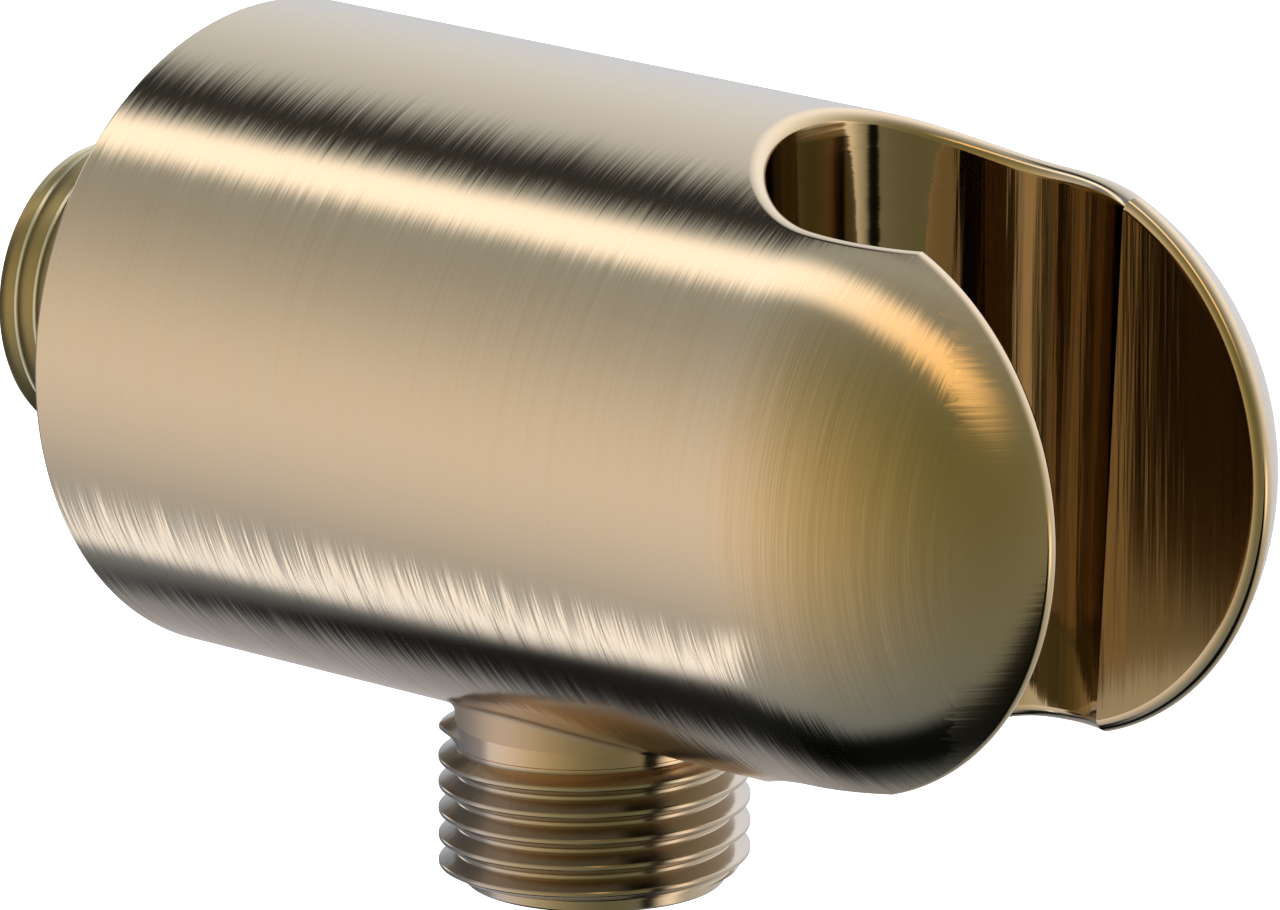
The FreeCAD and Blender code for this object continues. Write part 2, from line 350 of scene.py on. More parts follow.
def turned_rings(outline, count, spot, side):
    """Pairs of rings for a surface turned about an axis, one pair for each straight line of its outline.
    The outline holds (radius, along) points, and side says on which side of its run the metal ends."""
    pairs = []
    for (radius, along), (next_radius, next_along) in zip(outline, outline[1:]):
        across, rise = side * (next_along - along), -side * (next_radius - radius)
        size = math.hypot(across, rise)
        pair = []
        for ring_radius, ring_along in ((radius, along), (next_radius, next_along)):
            ring = []
            for around in full_ring(count):
                centre = spot(0, 0, around)
                normal = spot(across / size, rise / size, around) - centre
                ring.append((spot(ring_radius, ring_along, around), normal))
            pair.append(ring)
        pairs.append(pair)
    return pairs


def skin_corner(sizes, around, along):
    """Corner on the body's skin at an angle round its axis and a way along it from the wall."""
    lean = max(along - sizes.straight, 0) / sizes.radius
    normal = row(math.cos(lean) * math.cos(around), -math.sin(lean), math.cos(lean) * math.sin(around))
    return row(0, -min(along, sizes.straight), 0) + sizes.radius * normal, normal


def skin_mark(sizes, corner):
    """A corner on the skin as an outline point: arc round the axis, way along it, and the corner."""
    place, normal = corner
    along = -place[1]
    if along > sizes.straight:
        along = sizes.straight + sizes.radius * math.asin(-normal[1])
    return sizes.radius * math.atan2(normal[2], normal[0]), along, corner


def seam(sizes, side, first, last):
    """Outline points on the body's top or bottom line, without the ends."""
    count = max(2, round(abs(last - first) / SKIN_SPACING))
    return [skin_mark(sizes, (row(0, -along, side * sizes.radius), row(0, 0, side)))
            for along in steps(first, last, count)[1:-1]]


def bore_ball(sizes, part, height):
    """Centre of the ball that rounds the edge, held against the bore, and the bore's normal there.
    Part runs from 0 at the back of the bore to 1 where the slot begins."""
    flat = math.cos(sizes.bore_angle)
    reach = sizes.bore_radius + height * math.tan(sizes.bore_angle) + sizes.edge_round / flat
    slot_turn = -math.acos((sizes.slot_width / 2 + sizes.edge_round) / reach)
    around = PI / 2 + part * (slot_turn - PI / 2)
    normal = row(-math.cos(around) * flat, -math.sin(around) * flat, math.sin(sizes.bore_angle))
    return row(reach * math.cos(around), reach * math.sin(around) - sizes.setback, height), normal


def ball_height(sizes, centre, side):
    """Height at which a ball at this plan place touches the skin from inside."""
    inner = sizes.radius - sizes.edge_round
    past = min(centre[1] + sizes.straight, 0)
    return side * math.sqrt(inner ** 2 - centre[0] ** 2 - past ** 2)


def bore_edge_ball(sizes, part, side):
    """The ball where it touches both the bore and the skin, above (side 1) or below (side -1)."""
    height = side * sizes.radius / 2
    for _ in range(SETTLE_ROUNDS):
        centre, normal = bore_ball(sizes, part, height)
        height = ball_height(sizes, centre, side)
    return bore_ball(sizes, part, height)


def ball_skin_normal(sizes, centre):
    return unit(centre - row(0, max(centre[1], -sizes.straight), 0))


def edge_column(sizes, centre, wall_normal):
    """Corners across the rounded edge, from the skin to the wall."""
    skin_normal = ball_skin_normal(sizes, centre)
    normals = [between(skin_normal, wall_normal, part) for part in steps(0, 1, ROUND_STEPS)]
    return [(centre + sizes.edge_round * normal, normal) for normal in normals]


def mitred(first, second, centre, radius):
    """The two columns of corners along the sharp line where two walls round one ball meet."""
    sharp = [(a + b) / (1 + a @ b) for (_, a), (_, b) in zip(first, second)]
    places = [centre + radius * offset for offset in sharp]
    return ([(place, normal) for place, (_, normal) in zip(places, first)],
            [(place, normal) for place, (_, normal) in zip(places, second)])


SLOT_NORMAL = row(-1, 0, 0)


def fork(shell, sizes):
    """The rounded edge and the walls of the fork. Gives back the line where the edge meets the skin."""
    parts = steps(0, 1, BORE_STEPS)
    strips = []
    halves = {}
    for side in (1, -1):
        balls = [bore_edge_ball(sizes, part, side) for part in parts]
        columns = [edge_column(sizes, centre, normal) for centre, normal in balls]
        corner_centre = balls[-1][0]
        slot_column = edge_column(sizes, corner_centre, SLOT_NORMAL)
        near, far = mitred(columns[-1], slot_column, corner_centre, sizes.edge_round)
        strips += list(zip(columns, columns[1:])) + [(columns[-1], near), (far, slot_column)]
        halves[side] = (balls, columns, slot_column)
    top_balls, top_columns, top_slot = halves[1]
    low_balls, low_columns, low_slot = halves[-1]
    top_centre, bottom_centre = top_balls[-1][0], low_balls[-1][0]
    rim = math.hypot(top_centre[1] + sizes.straight, top_centre[2])
    turns = [math.atan2(centre[2], -centre[1] - sizes.straight) for centre in (top_centre, bottom_centre)]
    slot_columns = [top_slot]
    for turn in steps(turns[0], turns[1], SLOT_STEPS)[1:-1]:
        centre = row(top_centre[0], -sizes.straight - rim * math.cos(turn), rim * math.sin(turn))
        slot_columns.append(edge_column(sizes, centre, SLOT_NORMAL))
    slot_columns.append(low_slot)
    strips += list(zip(slot_columns, slot_columns[1:]))
    shell.finish = EDGE_FINISH
    for left, right in strips:
        shell.strip(left, right, mirrored=True)

    shell.finish = FORK_FINISH
    wall_columns = []
    for number, part in enumerate(parts):
        high, low = top_balls[number][0][2], low_balls[number][0][2]
        column = []
        for height in steps(high, low, WALL_ROWS):
            centre, normal = bore_ball(sizes, part, height)
            column.append((centre + sizes.edge_round * normal, normal))
        wall_columns.append(column)
    crease = []
    for height in steps(top_centre[2], bottom_centre[2], WALL_ROWS):
        centre, normal = bore_ball(sizes, 1, height)
        offset = (normal + SLOT_NORMAL) / (1 + normal @ SLOT_NORMAL)
        crease.append((centre + sizes.edge_round * offset, normal))
    for left, right in zip(wall_columns, wall_columns[1:] + [crease]):
        shell.strip(left, right, mirrored=True)
    arm = [place for place, _ in crease] + [column[-1][0] for column in reversed(slot_columns)]
    arm_face = [(place, SLOT_NORMAL) for place in arm]
    shell.finish = ARM_FINISH
    shell.face(arm_face)
    shell.face(mirror(arm_face))
    shell.finish = 0

    edge_columns = top_columns + slot_columns[1:-1] + list(reversed(low_columns))
    return [column[0] for column in edge_columns]


def neck_columns(body, outlet, thread):
    """Corners down the hollow rounding between the body and the outlet's neck, one column for each angle."""
    neck_radius = thread.root_radius + outlet.neck_step
    reach = neck_radius + outlet.neck_round
    columns = []
    for around in full_ring(OUTLET_COUNT):
        spot = about_outlet_axis(reach, 0, around)
        centre = row(spot[0], spot[1], -math.sqrt((body.radius + outlet.neck_round) ** 2 - spot[0] ** 2))
        skin_normal = unit(row(centre[0], 0, centre[2]))
        neck_normal = row(math.cos(around), math.sin(around), 0)
        shown = 1
        if centre[2] < outlet.thread_top:
            shown, hidden = 0, 1
            for _ in range(HALVINGS):
                middle = (shown + hidden) / 2
                height = centre[2] - outlet.neck_round * between(skin_normal, neck_normal, middle)[2]
                if height > outlet.thread_top:
                    shown = middle
                else:
                    hidden = middle
        column = []
        for part in steps(0, shown, ROUND_STEPS):
            normal = between(skin_normal, neck_normal, part)
            column.append((centre - outlet.neck_round * normal, normal))
        if shown == 1:
            column.append((about_outlet_axis(neck_radius, outlet.thread_top, around), neck_normal))
        else:
            column.append(column[-1])
        columns.append(column)
    return columns


def thread_profile(thread):
    """How far the thread's outline drops below the crest, against the distance from the crest's middle."""
    depth = thread.crest_radius - thread.root_radius
    slope = math.tan(thread.flank_angle)
    flat = (thread.pitch - 2 * depth * slope) / 4
    lean, fall = thread.corner * math.sin(thread.flank_angle), thread.corner * math.cos(thread.flank_angle)
    foot = thread.pitch / 2 - flat
    return [(0, 0), (flat - thread.corner, 0), (flat + lean, fall), (thread.pitch / 4, depth / 2),
            (foot - lean, depth - fall), (foot + thread.corner, depth)]


def thread_columns(thread, top, bottom, crest, kept, step_out, least, most, spot):
    """Places down a right-hand thread between two planes, one column for each angle, and the rows in
    a turn. Crest is the height of a crest at the first angle. Kept is the share of the thread's height
    that is left at a part of a turn and a height, and step_out is how far it stands out where none is
    left. Least and most limit the radius at an angle and height."""
    depth = thread.crest_radius - thread.root_radius
    half = thread_profile(thread)
    distances, drops = zip(*(half + [(thread.pitch / 2, half[-1][1])]))
    offsets = [thread.pitch / 2] + [distance for distance, _ in reversed(half)]
    offsets += [-distance for distance, _ in half[1:]]
    above = math.ceil((top - crest) / thread.pitch) + 2
    turns = above + math.ceil((crest - bottom) / thread.pitch) + 3
    columns = []
    for number, around in enumerate(full_ring(OUTLET_COUNT)):
        column = []
        middle = crest + thread.pitch * number / OUTLET_COUNT
        for turn in range(turns):
            for offset in offsets:
                height = min(max(middle + (above - turn) * thread.pitch + offset, bottom), top)
                away = (height - middle + thread.pitch / 2) % thread.pitch - thread.pitch / 2
                rise = depth - float(np.interp(abs(away), distances, drops))
                faded = rise * kept(number / OUTLET_COUNT, height)
                radius = thread.root_radius + max(faded, min(rise, step_out))
                radius = min(max(radius, least(number, height)), most(height))
                column.append(spot(radius, height, around))
        columns.append(column)
    return columns, len(offsets)


def weave(shell, columns, rows_in_turn, finish=lambda corners: 0):
    """Joins the columns of a thread. Going once round, each row meets the row one turn further up."""
    count = len(columns)
    for number in range(count):
        left, right = columns[number], columns[(number + 1) % count]
        lift = rows_in_turn if number == count - 1 else 0
        for step in range(lift, len(left) - 1):
            corners = [left[step], left[step + 1], right[step + 1 - lift], right[step - lift]]
            shell.finish = finish(corners)
            shell.face([(place, None) for place in corners])


def run_out(outlet, thread, part, height):
    """Share of the thread's height that is left. Its first ridge fades away as it climbs."""
    middle = outlet.crest_height + thread.pitch * part
    if height > middle + thread.pitch / 2:
        return 0
    if height < middle - thread.pitch / 2:
        return 1
    return 1 - min(max((part - outlet.run_out) / outlet.run_out_part, 0), 1)


def thread_finish(outlet, thread, corners):
    """The neck's material above the thread's first full ridge, and the thread's own below it."""
    place = sum(corners) / len(corners)
    around = math.atan2(place[1] + outlet.setback, place[0])
    part = (around + PI / 2) / (2 * PI) % 1
    turns_up = 0.5 if part < outlet.run_out else -0.5
    plain = place[2] > outlet.crest_height + thread.pitch * (part + turns_up)
    return NECK_FINISH if plain else THREAD_FINISH


def outlet_spigot(shell, body, outlet, thread):
    """The outlet's neck, thread, end and valve pocket. Gives back the line where the neck meets the skin."""
    shell.finish = HOLLOW_FINISH
    necks = neck_columns(body, outlet, thread)
    for number, column in enumerate(necks):
        shell.strip(column, necks[(number + 1) % len(necks)])
    columns, rows_in_turn = thread_columns(
        thread, outlet.thread_top, outlet.thread_bottom, outlet.crest_height,
        lambda part, height: run_out(outlet, thread, part, height), outlet.neck_step,
        lambda number, height: hollow_radius(body, outlet, thread, number, height),
        lambda height: thread.crest_radius, about_outlet_axis)
    weave(shell, columns, rows_in_turn, lambda corners: thread_finish(outlet, thread, corners))
    top = [(column[-1][0], None) for column in necks]
    shell.finish = NECK_FINISH
    shell.rings([top, [(column[0], None) for column in columns]])
    shell.finish = THREAD_FINISH
    lead = [(about_outlet_axis(outlet.lead_radius, outlet.lead_top, around), None)
            for around in full_ring(OUTLET_COUNT)]
    shell.rings([[(column[-1], None) for column in columns], lead])
    cartridge_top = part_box("valve_seat_sleeve")[1].z
    outline = [
        (outlet.lead_radius, outlet.lead_top),
        (outlet.lead_radius, outlet.bottom + outlet.bevel),
        (outlet.lead_radius - outlet.bevel, outlet.bottom),
        (outlet.bore_radius + outlet.bevel, outlet.bottom),
        (outlet.bore_radius, outlet.bottom + outlet.bevel),
        (outlet.bore_radius, cartridge_top),
        (outlet.drop_radius, cartridge_top),
    ]
    for pair in turned_rings(outline, OUTLET_COUNT, about_outlet_axis, -1):
        shell.rings(pair)
    return [column[0] for column in necks[:OUTLET_COUNT // 2 + 1]]


def hollow_radius(body, outlet, thread, number, height):
    """Radius of the neck's hollow rounding at a height below the top of the thread."""
    around = full_ring(OUTLET_COUNT)[number]
    reach = thread.root_radius + outlet.neck_step + outlet.neck_round
    deep = math.sqrt((body.radius + outlet.neck_round) ** 2 - (reach * math.cos(around)) ** 2)
    above = height + deep
    if above <= 0:
        return thread.root_radius
    return reach - math.sqrt(max(outlet.neck_round ** 2 - above ** 2, 0))


def water_ways(shell, body, outlet):
    """The drop to the valve and the feed along the body, which meet inside it."""
    cartridge_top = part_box("valve_seat_sleeve")[1].z
    ring = []
    for around in full_ring(OUTLET_COUNT):
        spot = about_outlet_axis(outlet.drop_radius, 0, around)
        height = -math.sqrt(body.feed_radius ** 2 - spot[0] ** 2)
        inward = row(-math.cos(around), -math.sin(around), 0)
        ring.append(((row(spot[0], spot[1], cartridge_top), inward), (row(spot[0], spot[1], height), inward)))
    shell.rings([[low for low, _ in ring], [high for _, high in ring]])

    def feed_corner(across, along):
        around = across / body.feed_radius
        return about_wall_axis(body.feed_radius, -along, around), -about_wall_axis(1, 0, around)

    def feed_mark(across, along):
        return across, along, feed_corner(across, along)

    edge = body.feed_radius * PI / 2
    hole = []
    for _, (place, _) in ring[:OUTLET_COUNT // 2 + 1]:
        around = math.atan2(place[2], place[0])
        hole.append((body.feed_radius * around, -place[1], (place, -about_wall_axis(1, 0, around))))
    across_back = [body.feed_radius * around for around in half_ring(BACK_COUNT)]
    start, end = body.pocket_depth, body.feed_end
    outline = [feed_mark(across, start) for across in across_back]
    outline += [feed_mark(edge, along) for along in steps(start, end, FEED_ROWS)[1:-1]]
    outline += [feed_mark(across, end) for across in reversed(across_back)]
    outline += [feed_mark(-edge, along) for along in steps(end, hole[0][1], FEED_END_ROWS)[1:-1]]
    outline += hole
    outline += [feed_mark(-edge, along) for along in steps(hole[-1][1], start, FEED_START_ROWS)[1:-1]]
    shell.patch(outline, feed_corner, SKIN_SPACING)


def body_shell(body, outlet, thread):
    """The whole body: skin, fork, back and outlet."""
    shell = Shell()
    fork_line = fork(shell, body)
    neck_line = outlet_spigot(shell, body, outlet, thread)
    shell.finish = 0
    outline = [skin_mark(body, skin_corner(body, around, body.back_round))
               for around in half_ring(BACK_COUNT)]
    fork_marks = [skin_mark(body, corner) for corner in fork_line]
    neck_marks = [skin_mark(body, corner) for corner in neck_line]
    outline += seam(body, 1, body.back_round, fork_marks[0][1])
    outline += fork_marks
    outline += seam(body, -1, fork_marks[-1][1], neck_marks[0][1])
    outline += neck_marks
    outline += seam(body, -1, neck_marks[-1][1], body.back_round)
    shell.patch(outline, lambda across, along: skin_corner(body, across / body.radius, along), SKIN_SPACING)

    rim = []
    for turn in steps(0, PI / 2, BACK_ROUND_STEPS):
        radius = body.radius - body.back_round * (1 - math.cos(turn))
        depth = -body.back_round * (1 - math.sin(turn))
        ring = []
        for around in full_ring(BACK_COUNT):
            normal = about_wall_axis(math.cos(turn), math.sin(turn), around)
            ring.append((about_wall_axis(radius, depth, around), normal))
        rim.append(ring)
    shell.rings(rim)
    point = body.feed_radius / math.tan(body.drill_angle / 2)
    back = [
        (body.radius - body.back_round, 0),
        (body.recess_radius, 0),
        (body.recess_radius, -body.recess_depth),
        (body.pocket_radius, -body.recess_depth),
        (body.pocket_radius, -body.pocket_depth),
        (body.feed_radius, -body.pocket_depth),
    ]
    for pair in turned_rings(back, BACK_COUNT, about_wall_axis, 1):
        shell.rings(pair)
    tip = [(body.feed_radius, -body.feed_end), (0, -body.feed_end - point)]
    for pair in turned_rings(tip, BACK_COUNT, about_wall_axis, 1):
        shell.rings(pair)
    water_ways(shell, body, outlet)
    return shell


def lying(place):
    """Lays a piece turned about Z down along the body's axis, +Z becoming +Y."""
    return row(place[0], place[2], -place[1])


def about_z(radius, height, around):
    return row(radius * math.cos(around), radius * math.sin(around), height)


def nipple_shell(nipple, thread):
    """The wall nipple, standing on Z and laid down as it is placed."""
    shell = Shell(lying)
    low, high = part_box("inlet_nipple")
    start, end = low.y, high.y
    reach = thread.crest_radius
    depth = reach - thread.root_radius
    slope = (reach - nipple.end_radius) / (end - nipple.chamfer_start)
    columns, rows_in_turn = thread_columns(
        thread, end, nipple.thread_start, nipple.crest_place,
        lambda part, height: 1, 0,
        lambda number, height: 0,
        lambda height: reach - max(height - nipple.chamfer_start, 0) * slope, about_z)
    weave(shell, columns, rows_in_turn)
    corners = []
    for around in full_ring(OUTLET_COUNT):
        turn = (around + PI / 2) % (PI / 3) - PI / 6
        corners.append(nipple.hexagon / 2 / math.cos(turn))
    floor = end - nipple.hexagon_depth

    def level_ring(radii, height):
        return [(about_z(radius, height, around), None)
                for radius, around in zip(radii, full_ring(OUTLET_COUNT))]

    bore = level_ring([nipple.bore_radius] * OUTLET_COUNT, floor)
    sole, mouth = level_ring(corners, floor), level_ring(corners, end)
    shell.rings([bore, sole, mouth, [(column[0], None) for column in columns]])
    chamfer = end - nipple.chamfer_start
    outline = [
        (thread.root_radius, nipple.thread_start - depth / 2),
        (thread.root_radius, -nipple.relief_width),
        (reach, -nipple.relief_width - depth),
        (reach, start + chamfer),
        (reach - chamfer, start),
        (nipple.bore_radius, start),
        (nipple.bore_radius, floor),
    ]
    for pair in turned_rings(outline, OUTLET_COUNT, about_z, -1):
        shell.rings(pair)
    groove = level_ring([thread.root_radius] * OUTLET_COUNT, outline[0][1])
    shell.rings([[(column[-1], None) for column in columns], groove])
    return shell


class Finishes(bpy.types.PropertyGroup):
    """Colours and surface of the metal, rubber and plastic."""
    brass: colour("Brass", "Colour of the body's metal", (0.62, 0.47, 0.31))
    # painted shade: the fork's bore gets a darker copy of the body's brass, for the shade inside the fork
    fork_brass: colour("Fork brass", "Colour of the fork's bore", (0.43, 0.33, 0.21))
    # painted shade: the slot's walls get a still darker copy of the body's brass, for the shade inside the
    # slot
    arm_brass: colour("Slot brass", "Colour of the slot's walls", (0.34, 0.24, 0.12))
    neck_brass: colour("Neck brass", "Colour of the outlet's neck", (0.62, 0.46, 0.33))
    # painted shade: the outlet's thread gets a darker copy of the body's brass, for the shade on its flanks
    # and grooves
    thread_brass: colour("Thread brass", "Colour of the outlet's thread", (0.48, 0.39, 0.30))
    nipple_brass: colour("Nipple brass", "Colour of the wall nipple's metal", (0.60, 0.52, 0.34))
    rubber: colour("Rubber", "Colour of the gasket and the seals", (0.018, 0.018, 0.019))
    fibre: colour("Fibre", "Colour of the nipple's flat washer", (0.16, 0.045, 0.03))
    cartridge: colour("Cartridge", "Colour of the valve's cartridge", (0.80, 0.80, 0.78))
    poppet: colour("Poppet", "Colour of the valve's poppet", (0.05, 0.09, 0.16))
    steel: colour("Spring steel", "Colour of the valve's spring", (0.56, 0.57, 0.58))
    roughness: share("Brushed roughness", "Roughness of the brushed metal", 0.15)
    level_roughness: share("Level roughness", "Roughness where the strokes lie level", 0.16)
    fork_roughness: share("Bore roughness", "Roughness of the fork's bore", 0.08)
    arm_roughness: share("Slot roughness", "Roughness of the slot's walls", 0.2)
    neck_roughness: share("Neck roughness", "Roughness of the outlet's neck", 0.13)
    thread_roughness: share("Thread roughness", "Roughness of the outlet's thread", 0.18)
    hollow_roughness: share("Hollow roughness", "Roughness of the rounding above the neck", 0.4)
    edge_roughness: share("Edge roughness", "Roughness of the fork's rounded edge", 0.05)
    nipple_roughness: share("Nipple roughness", "Roughness of the wall nipple", 0.25)
    steel_roughness: share("Spring roughness", "Roughness of the valve's spring", 0.2)
    rubber_roughness: share("Rubber roughness", "Roughness of the gasket and the seals", 0.6)
    fibre_roughness: share("Fibre roughness", "Roughness of the flat washer", 0.75)
    plastic_roughness: share("Plastic roughness", "Roughness of the cartridge and the poppet", 0.4)
    grain: share("Brushed grain", "How much longer a highlight is across the strokes", 0.7)
    fine_grain: share("Fine grain", "The same for the fork's bore and the neck", 0.5)
    thread_grain: share("Thread grain", "The same for the outlet's thread", 0.4)
    stroke_width: length("Stroke width", "Width of a brush stroke", 0.11 * MM)
    stroke_length: length("Stroke length", "Length of a brush stroke", 20 * MM)
    stroke_tilt: share("Stroke depth", "How far a stroke turns the surface", 0.27)
    line_width: length("Lathe line", "Width of a line that the lathe leaves", 0.08 * MM)
    wire_line_width: length("Wire line", "Width of a drawing line on the spring's wire", 0.03 * MM)
    rubber_grain: length("Rubber grain", "Size of the rubber's grain", 0.12 * MM)
    rubber_relief: length("Rubber relief", "Height of the rubber's grain", 0.02 * MM)
    fibre_grain: length("Fibre grain", "Size of the washer's grain", 0.2 * MM)
    fibre_relief: length("Fibre relief", "Height of the washer's grain", 0.03 * MM)
    plastic_grain: length("Plastic grain", "Size of the plastic's grain", 0.1 * MM)
    plastic_relief: length("Plastic relief", "Height of the plastic's grain", 0.005 * MM)


class Nodes:
    """Builds a node tree step by step. Inputs are sockets, or values, or None to leave them alone."""

    def __init__(self, owner):
        owner.use_nodes = True
        self.tree = owner.node_tree
        self.tree.nodes.clear()

    def put(self, value, socket):
        if isinstance(value, bpy.types.NodeSocket):
            self.tree.links.new(value, socket)
        elif value is not None:
            socket.default_value = value

    def add(self, kind, *inputs, **settings):
        node = self.tree.nodes.new(kind)
        for name, value in settings.items():
            setattr(node, name, value)
        for socket, value in zip(node.inputs, inputs):
            self.put(value, socket)
        return node

    def math(self, operation, *inputs):
        return self.add("ShaderNodeMath", *inputs, operation=operation).outputs[0]

    def vector(self, operation, *inputs):
        return self.add("ShaderNodeVectorMath", *inputs, operation=operation).outputs["Vector"]

    def dot(self, first, second):
        return self.add("ShaderNodeVectorMath", first, second, operation="DOT_PRODUCT").outputs["Value"]

    def scaled(self, vector, factor):
        node = self.add("ShaderNodeVectorMath", vector, operation="SCALE")
        self.put(factor, node.inputs["Scale"])
        return node.outputs["Vector"]

    def part(self, vector, axis):
        return self.add("ShaderNodeSeparateXYZ", vector).outputs[axis]

    def ease(self, value, low, high, first=0.0, last=1.0):
        """Goes smoothly from first to last as value goes from low to high."""
        node = self.add("ShaderNodeMapRange", value, low, high, first, last, interpolation_type="SMOOTHSTEP")
        return node.outputs[0]

    def blend(self, factor, first, last):
        """A vector or colour between two others."""
        node = self.add("ShaderNodeMix", data_type="VECTOR")
        for value, name in ((factor, "Factor_Float"), (first, "A_Vector"), (last, "B_Vector")):
            self.put(value, next(socket for socket in node.inputs if socket.identifier == name))
        return next(socket for socket in node.outputs if socket.identifier == "Result_Vector")

    def noise(self, place, detail):
        """Noise of one cycle for each unit of place."""
        node = self.add("ShaderNodeTexNoise")
        self.put(place, node.inputs["Vector"])
        self.put(1.0, node.inputs["Scale"])
        self.put(detail, node.inputs["Detail"])
        return node.outputs[0]

    def bump(self, height, strength, distance):
        """A normal that follows a height."""
        node = self.add("ShaderNodeBump")
        for name, value in (("Strength", strength), ("Distance", distance), ("Height", height)):
            self.put(value, node.inputs[name])
        return node.outputs[0]

    def surface(self, **inputs):
        """Ends the tree in a Principled shader. An underscore in a name stands for a space."""
        shader = self.add("ShaderNodeBsdfPrincipled")
        for name, value in inputs.items():
            self.put(value, shader.inputs[name.replace("_", " ")])
        self.add("ShaderNodeOutputMaterial", shader.outputs[0])


FINE_LEAN = 0.02        # radians by which the fine strokes lean out of their plane
COARSE_LEAN = -0.03      # radians by which the coarse strokes lean the other way
COARSE_SIZE = 2.0        # size of the coarse strokes against the fine ones
COARSE_SHARE = 0.6       # depth of the coarse strokes against the fine ones
STROKE_DETAIL = 3.0      # octaves of noise in a stroke
TURNED_LIMIT = 0.6       # a turned face that looks up or down more than this has round strokes
UPRIGHT_WEIGHT = 0.8     # weight of looking up against looking forward on the body
FRAYING = (150.0, 150.0, 2500.0)  # cycles in a metre of the noise that frays the strokes' change
FRAYING_DETAIL = 4.0
FRAYING_DEPTH = 0.3      # how far that noise moves the change
LEVEL_DEPTH = 0.6        # depth of the level strokes against the round ones
STROKE_SHADE = 0.06      # how much a stroke lightens or darkens the metal
LINE_LENGTH = 60         # length of a lathe line against its width
LINE_STRENGTH = 0.06     # strength of the lathe lines' relief
LINE_SHADE = 0.1         # how much a lathe line changes colour and roughness
CLOUD_SIZE = 30          # size of a moulded piece's clouds against its grain
CLOUD_SHADE = 0.3        # how much the clouds change its colour
GRAIN_SHADE = 0.1        # how much the grain changes its colour
LEAST_SHADE = 0.8        # its darkest colour against the plain one
GRAIN_ROUGHNESS = 0.15   # how much the grain changes its roughness
GRAIN_STRENGTH = 0.4     # strength of the grain's relief
GRAIN_DETAIL = 5.0
CLOUD_DETAIL = 3.0


def started(name):
    """A new material, its nodes, and the place on the object."""
    material = bpy.data.materials.new(name)
    nodes = Nodes(material)
    return material, nodes, nodes.add("ShaderNodeTexCoord").outputs["Object"]


def streaks(nodes, place, along, width, reach):
    """Fine strokes that lie in planes across one axis, in two layers that cross at a small angle."""
    layers = []
    for lean, coarse in ((FINE_LEAN, 1.0), (COARSE_LEAN, COARSE_SIZE)):
        turned = [0.0, 0.0, 0.0]
        turned["XYZ".index(along) - 1] = lean
        stretch = [1 / reach / coarse] * 3
        stretch["XYZ".index(along)] = 1 / width / coarse
        turned_place = nodes.add("ShaderNodeMapping", place, None, tuple(turned)).outputs[0]
        stretched = nodes.vector("MULTIPLY", turned_place, tuple(stretch))
        layers.append(nodes.noise(stretched, STROKE_DETAIL))
    fine = nodes.math("MULTIPLY_ADD", layers[0], 1.0, -(1 + COARSE_SHARE) / 2)
    return nodes.math("MULTIPLY_ADD", layers[1], COARSE_SHARE, fine)


def brushed_metal(name, finishes, tint, roughness, level_roughness, grain, depth, turned):
    """Metal brushed in level planes on the faces that look along Y, and in planes across Y elsewhere.
    Turned metal has level strokes on every upright face."""
    material, nodes, place = started(name)
    normal = nodes.add("ShaderNodeNewGeometry").outputs["Normal"]
    aside, end_on, upright = (nodes.math("ABSOLUTE", nodes.part(normal, axis)) for axis in range(3))
    if turned:
        facing = nodes.math("SUBTRACT", TURNED_LIMIT, upright)
    else:
        other = nodes.math("MAXIMUM", aside, nodes.math("MULTIPLY", upright, UPRIGHT_WEIGHT))
        facing = nodes.math("SUBTRACT", end_on, other)
    frayed = nodes.noise(nodes.vector("MULTIPLY", place, FRAYING), FRAYING_DETAIL)
    frayed = nodes.math("MULTIPLY_ADD", frayed, FRAYING_DEPTH, -FRAYING_DEPTH / 2)
    level = nodes.math("GREATER_THAN", nodes.math("ADD", facing, frayed), 0.0)
    across = nodes.blend(level, (0.0, 1.0, 0.0), (0.0, 0.0, 1.0))
    width, reach = finishes.stroke_width, finishes.stroke_length
    round_strokes = streaks(nodes, place, "Y", width, reach)
    level_strokes = streaks(nodes, place, "Z", width, reach)
    round_share = nodes.math("SUBTRACT", 1.0, level)
    level_share = nodes.math("MULTIPLY", level, LEVEL_DEPTH)
    stroke = nodes.math("ADD", nodes.math("MULTIPLY", round_strokes, round_share),
                        nodes.math("MULTIPLY", level_strokes, level_share))
    tilt = nodes.scaled(across, nodes.math("MULTIPLY", stroke, depth))
    bent = nodes.vector("NORMALIZE", nodes.vector("ADD", normal, tilt))
    worn = nodes.scaled(tuple(tint), nodes.math("MULTIPLY_ADD", stroke, STROKE_SHADE, 1.0))
    rough = nodes.math("MULTIPLY_ADD", level, level_roughness - roughness, roughness)
    nodes.surface(Base_Color=worn, Metallic=1.0, Roughness=rough, Anisotropic=grain,
                  Normal=bent, Tangent=across)
    return material


def turned_metal(name, tint, roughness, line_width, axis):
    """Metal with the fine rings that a lathe leaves, which lie across one axis."""
    material, nodes, place = started(name)
    stretch = [1 / line_width / LINE_LENGTH] * 3
    stretch["XYZ".index(axis)] = 1 / line_width
    rings = nodes.noise(nodes.vector("MULTIPLY", place, tuple(stretch)), STROKE_DETAIL)
    shade = nodes.math("MULTIPLY_ADD", rings, LINE_SHADE, 1 - LINE_SHADE / 2)
    nodes.surface(Base_Color=nodes.scaled(tuple(tint), shade), Metallic=1.0,
                  Roughness=nodes.math("MULTIPLY_ADD", rings, LINE_SHADE, roughness),
                  Normal=nodes.bump(rings, LINE_STRENGTH, line_width / 4))
    return material


